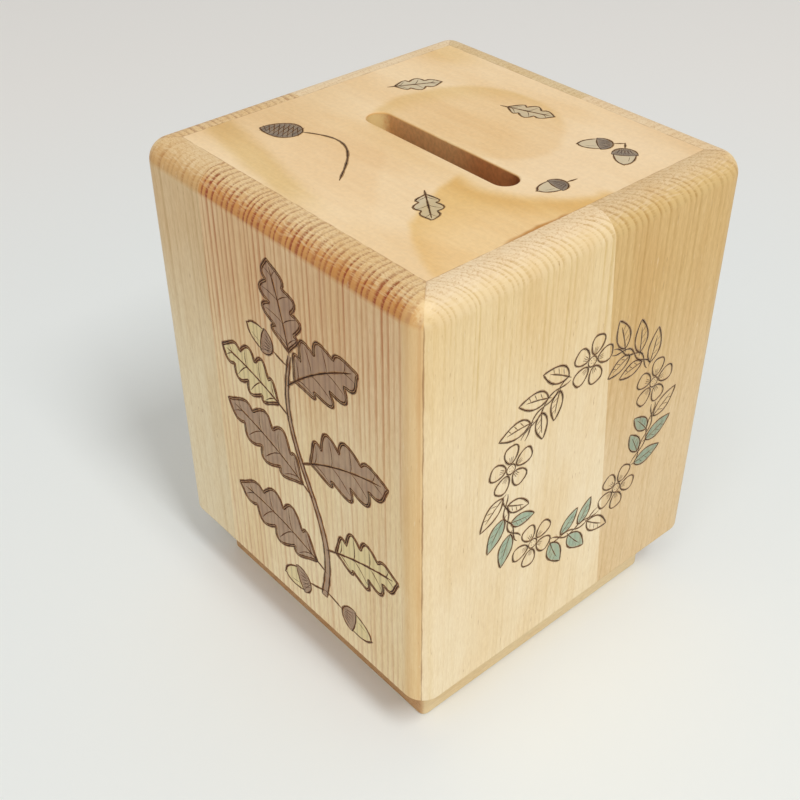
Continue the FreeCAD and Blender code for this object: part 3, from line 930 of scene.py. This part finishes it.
def draw_front():
    """An oak twig with lobed leaves and acorns, stained brown and pale yellow."""
    low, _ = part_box("front_wall_right_stave")
    front = Drawing("front_drawing", Vector((0, low.y, 0)), X_AXIS, Z_AXIS, "red_pine")

    def twig(share, aside=0.0):
        x = 14 - 8 * share + 4 * sin(tau * share)
        return x + aside * (1.1 - 0.6 * share), 29 + 74 * share

    def off_twig(share, turn, reach):
        x, y = twig(share)
        return x + reach * cos(radians(turn)), y + reach * sin(radians(turn))

    sides = [[twig(step / 40, aside) for step in range(41)] for aside in (-1.0, 1.0)]
    for side in sides:
        front.line(side, STALK_PEN)
    front.stain("brown", sides[0] + sides[1][::-1])
    front.line([sides[0][0], sides[1][0]], STALK_PEN)
    for share, turn, length, width, curl, stain in (
        (0.13, 160, 34, 19.0, 0.006, "brown"),
        (0.45, 152, 32, 18.5, 0.006, "brown"),
        (0.74, 158, 24, 15.5, 0.006, "yellow"),
        (0.25, 24, 25, 16.0, -0.005, "yellow"),
        (0.57, 31, 31, 18.0, -0.006, "brown"),
        (0.87, 42, 28, 17.0, -0.006, "brown"),
        (1.00, 100, 23, 15.0, 0.004, "brown"),
    ):
        stalk = 4.5 if share < 1 else 1.2
        oak_leaf(front, off_twig(share, turn, stalk), turn, length, width, stalk, 4, curl, stain, True)
    for share, turn, reach, size in (
        (0.03, -12, 7.0, 12.0),
        (0.03, 200, 7.0, 12.0),
        (0.95, 164, 6.0, 10.5),
    ):
        acorn(front, off_twig(share, turn, reach), turn, size, reach, "yellow", "brown")
    front.burn("scorched front pine", RED_FRONT)
    front.soak("brown", "brown leaf stain", RED_FRONT, (158, 120, 94), 0.88)
    front.soak("yellow", "yellow leaf stain", RED_FRONT, (232, 214, 152), 0.75)


def half_width(share, width, forward, fullness):
    """Half the width of a pointed form at a share of its length."""
    return width / 2 * sin(pi * share ** forward) ** fullness


def pointed(length, width, forward, fullness):
    """The closed outline of a pointed form along +X from the origin."""
    edge = [(length * s / 20, half_width(s / 20, width, forward, fullness)) for s in range(1, 20)]
    return [(0.0, 0.0)] + edge + [(length, 0.0)] + [(x, -y) for x, y in reversed(edge)]


SMALL_LEAF_CURL = 0.012
SHADE_STROKES = 3


def small_leaf(drawing, at, turn, length, width, stain):
    """A pointed leaf with a rib and a few strokes of shade."""
    outline = laid(pointed(length, width, 0.8, 0.9), at, turn, SMALL_LEAF_CURL)
    drawing.line(outline, LEAF_PEN, True)
    rib = [(length * s / 8, 0.0) for s in range(-1, 7)]
    drawing.line(laid(rib, at, turn, SMALL_LEAF_CURL), SCALE_PEN)
    for number in range(SHADE_STROKES):
        start = length * (0.2 + 0.6 * number / SHADE_STROKES)
        stroke = [(start + 0.17 * length * s, -0.40 * width * s) for s in (0.1, 0.5, 0.9)]
        drawing.line(laid(stroke, at, turn, SMALL_LEAF_CURL), SHADE_PEN)
    if stain:
        drawing.stain(stain, outline)


def flower(drawing, at, turn, size):
    """Five round petals about a dotted eye."""
    for petal in range(5):
        way = turn + 72 * petal
        loop = []
        for step in range(25):
            a = 2 * pi * step / 24
            out = 0.62 - 0.38 * cos(a)
            notch = 0.05 * max(0.0, -cos(a)) ** 6
            loop.append(((out - notch) * size, 0.30 * size * sin(a) * (1 - 0.25 * cos(a))))
        drawing.line(laid(loop, at, way), PETAL_PEN, True)
        for side in (-0.08, 0.0, 0.08):
            fold = [(0.30 * size, side * size * 0.6), (0.52 * size, side * size)]
            drawing.line(laid(fold, at, way), SHINE_PEN)
    round_eye = [tau * s / 16 for s in range(16)]
    ring = [(0.20 * size * cos(a), 0.20 * size * sin(a)) for a in round_eye]
    drawing.line(laid(ring, at), SCALE_PEN, True)
    for dot in range(5):
        a = tau * dot / 5
        spot = (at[0] + 0.09 * size * cos(a), at[1] + 0.09 * size * sin(a))
        drawing.line([spot, (spot[0] + 0.25, spot[1])], SCALE_PEN)


RIGHT_GLUE_AT_TOP = 4.0
RIGHT_GLUE_AT_FOOT = 14.0
STAIN_FROM_GLUE = 9.0
STAIN_BELOW_MIDDLE = 4.0


def draw_right():
    """A round garland of small leaves and flowers, its lower leaves touched with blue-green."""
    low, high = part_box("right_wall_left_stave")
    foot, top = low.z / MM, high.z / MM
    right = Drawing("right_drawing", Vector((high.x, 0, 0)), Y_AXIS, Z_AXIS, "pale_pine", 0.75)
    middle = (1.0, 74.0)
    radius = 27.0

    def ring(angle, out=0.0):
        a = radians(angle)
        return middle[0] + (radius + out) * cos(a), middle[1] + (radius + out) * sin(a)

    for number in range(5):
        start = 90 + 72 * number
        flower(right, ring(start), 20 * number, 7.5)
        for phase in (0, 180):
            stem = []
            for angle in range(16, 57, 2):
                stem.append(ring(start + angle, 0.9 * sin(radians(15 * angle + phase))))
            right.line(stem)
        for step in range(5):
            angle = start + 17 + 7.4 * step
            side = 1 if step % 2 == 0 else -1
            x, y = ring(angle, 0.8 * side)
            lean = (RIGHT_GLUE_AT_FOOT - RIGHT_GLUE_AT_TOP) * (top - y) / (top - foot)
            from_glue = x - RIGHT_GLUE_AT_TOP - lean
            stain = None
            if y < middle[1] - STAIN_BELOW_MIDDLE and abs(from_glue) > STAIN_FROM_GLUE:
                stain = "green_near" if from_glue < 0 else "green_far"
            length, width = (10.0, 4.8) if side > 0 else (8.4, 4.0)
            small_leaf(right, (x, y), angle + 90 - 52 * side, length, width, stain)
    right.burn("scorched right pine", CREAM_RIGHT)
    right.soak("green_near", "green stain on cream", CREAM_RIGHT, (128, 168, 146), 0.8)
    right.soak("green_far", "green stain on tan", TAN_RIGHT, (118, 156, 138), 0.8)


def cone(drawing, at, turn, length, width, stain):
    """A closed pine cone, dark with crossing rows of scales."""
    outline = laid(pointed(length, width, 0.75, 0.7), at, turn)
    drawing.line(outline, CONTOUR_PEN, True)
    drawing.stain(stain, outline)
    for row in range(1, 9):
        for lean in (-1, 1):
            start = length * row / 9
            reach = half_width(row / 9, width, 0.75, 0.7) * 0.92
            scale = [(start + 0.9 * lean * s, reach * s) for s in (-1.0, -0.5, 0.0, 0.5, 1.0)]
            drawing.line(laid(scale, at, turn), SCALE_PEN)


def draw_lid():
    """A cone on a bent twig and a few small leaves and acorns round the slot, touched with grey."""
    lid = Drawing("lid_drawing", Vector((0, 0, LID_HIGH.z)), X_AXIS, Y_AXIS, "lid_pine", 0.8)
    cone_x, cone_y = -27.0, -21.0
    cone(lid, (cone_x, cone_y), 215, 11.0, 8.0, "dark")
    twig = []
    for step in range(21):
        s = step / 20
        twig.append((cone_x + 26 * s, cone_y + 5 * sin(3.4 * s) - 8 * s * s))
    lid.line(twig, LEAF_PEN)
    for at, turn, length, width in (
        ((-33.0, 14.0), 62, 13.0, 7.5),
        ((-4.0, 27.0), 20, 13.0, 7.5),
        ((17.0, -20.0), -35, 12.0, 7.0),
    ):
        oak_leaf(lid, at, turn, length, width, 2.0, 3, 0.0, "grey", False)
    for at, turn, size in (
        ((31.5, 31.0), -50, 8.5),
        ((28.0, 31.0), -130, 8.5),
        ((34.0, 8.0), -100, 8.0),
    ):
        acorn(lid, at, turn, size, 3.0, "grey", "dark")
    lid.burn("scorched lid pine", LID)
    lid.soak("grey", "grey stain on lid", LID, (206, 200, 172), 0.62)
    lid.soak("dark", "dark stain on lid", LID, (112, 100, 92), 0.9)


make_screws()
draw_front()
draw_right()
draw_lid()


FLOOR_SIZE = 6.0
FLOOR_DROP = 0.2 * MM
UNDERSIDE_REACH = 4.0 * FLOOR_DROP
NEAR_TABLE, NEAR_WITHIN = srgb(239, 243, 242), 0.15
FAR_TABLE, FAR_FROM = srgb(244, 242, 238), 0.45
FLOOR_FADES_FROM = 0.5
FLOOR_GONE_AT = 1.5


def make_floor():
    """A pale table, a hair below the box, that fades into the backdrop far away.

    It is clear from below and to the light that reaches the box's underside.
    """
    deselect()
    bpy.ops.mesh.primitive_plane_add(size=FLOOR_SIZE, location=(0, 0, -FLOOR_DROP))
    floor = bpy.context.object
    floor.name = "floor"
    material, nodes, shader = new_material("white table")
    distance = nodes.length(nodes.outputs("ShaderNodeTexCoord")["Object"])
    tone = nodes.mix(nodes.eased(distance, NEAR_WITHIN, FAR_FROM), NEAR_TABLE, FAR_TABLE)
    nodes.feed(shader, {"Base Color": tone, "Roughness": 0.6})
    below = nodes.outputs("ShaderNodeNewGeometry")["Backfacing"]
    travelled = nodes.outputs("ShaderNodeLightPath")["Ray Length"]
    underside = nodes.math("LESS_THAN", travelled, UNDERSIDE_REACH)
    faded = nodes.eased(distance, FLOOR_FADES_FROM, FLOOR_GONE_AT)
    absent = nodes.math("MAXIMUM", nodes.math("MAXIMUM", below, underside), faded)
    clear = nodes.add("ShaderNodeBsdfTransparent")
    seen = nodes.add("ShaderNodeMixShader", {0: absent, 1: shader.outputs[0], 2: clear})
    nodes.feed(nodes.tree.nodes["Material Output"], {"Surface": seen})
    floor.data.materials.append(material)


SKY_COLOUR = (1.0, 0.987, 0.962, 1.0)
SKY_STRENGTH = 0.42
BACKDROP_STRENGTH = 0.72
LIGHTS_AIM = Vector((0, 0, 0.07))


def make_light():
    """A pale ceiling all round, a key lamp high on the right and a fill above the front."""
    world = bpy.data.worlds.new("studio")
    bpy.context.scene.world = world
    world.use_nodes = True
    nodes = NodeBench(world.node_tree)
    path = nodes.outputs("ShaderNodeLightPath")
    seen = nodes.math("MAXIMUM", path["Is Glossy Ray"], path["Is Transmission Ray"])
    seen = nodes.math("MAXIMUM", seen, path["Is Camera Ray"])
    strength = nodes.eased(seen, 0.0, 1.0, SKY_STRENGTH, BACKDROP_STRENGTH)
    nodes.feed(world.node_tree.nodes["Background"], {"Color": SKY_COLOUR, "Strength": strength})
    for name, place, width, height, watts in (
        ("key", (1.10, -0.15, 1.72), 0.45, 0.75, 18.5),
        ("fill", (0.65, -1.05, 1.95), 0.9, 0.9, 7.8),
    ):
        lamp = bpy.data.lights.new(name, "AREA")
        lamp.shape = "RECTANGLE"
        lamp.size = width
        lamp.size_y = height
        lamp.energy = watts
        light = new_object(name, lamp)
        light.location = place
        light.rotation_euler = (LIGHTS_AIM - Vector(place)).to_track_quat("-Z", "Y").to_euler()


CAMERA_PLACE = Vector((0.195929, -0.182074, 0.265626))
CAMERA_ANGLES = (49.2713, 37.5765, -0.4757)
FOCAL_PIXELS = 1201.495
PICTURE_PIXELS = 800
SENSOR_WIDTH = 36.0
CAMERA_CLIP = 0.01


def make_camera():
    """The camera that took the photo, found from the box's edges in it."""
    azimuth, elevation, roll = (radians(a) for a in CAMERA_ANGLES)
    across = cos(elevation)
    back = Vector((sin(azimuth) * across, -cos(azimuth) * across, sin(elevation)))
    right = Z_AXIS.cross(back).normalized()
    up = back.cross(right)
    turned_right = cos(roll) * right + sin(roll) * up
    turned_up = cos(roll) * up - sin(roll) * right
    camera = bpy.data.cameras.new("camera")
    camera.sensor_width = SENSOR_WIDTH
    camera.lens = SENSOR_WIDTH * FOCAL_PIXELS / PICTURE_PIXELS
    camera.clip_start = CAMERA_CLIP
    eye = new_object("camera", camera)
    axes = Matrix((turned_right, turned_up, back)).transposed().to_4x4()
    eye.matrix_world = Matrix.Translation(CAMERA_PLACE) @ axes
    bpy.context.scene.camera = eye


make_floor()
make_light()
make_camera()
bpy.context.scene.view_settings.view_transform = "Standard"
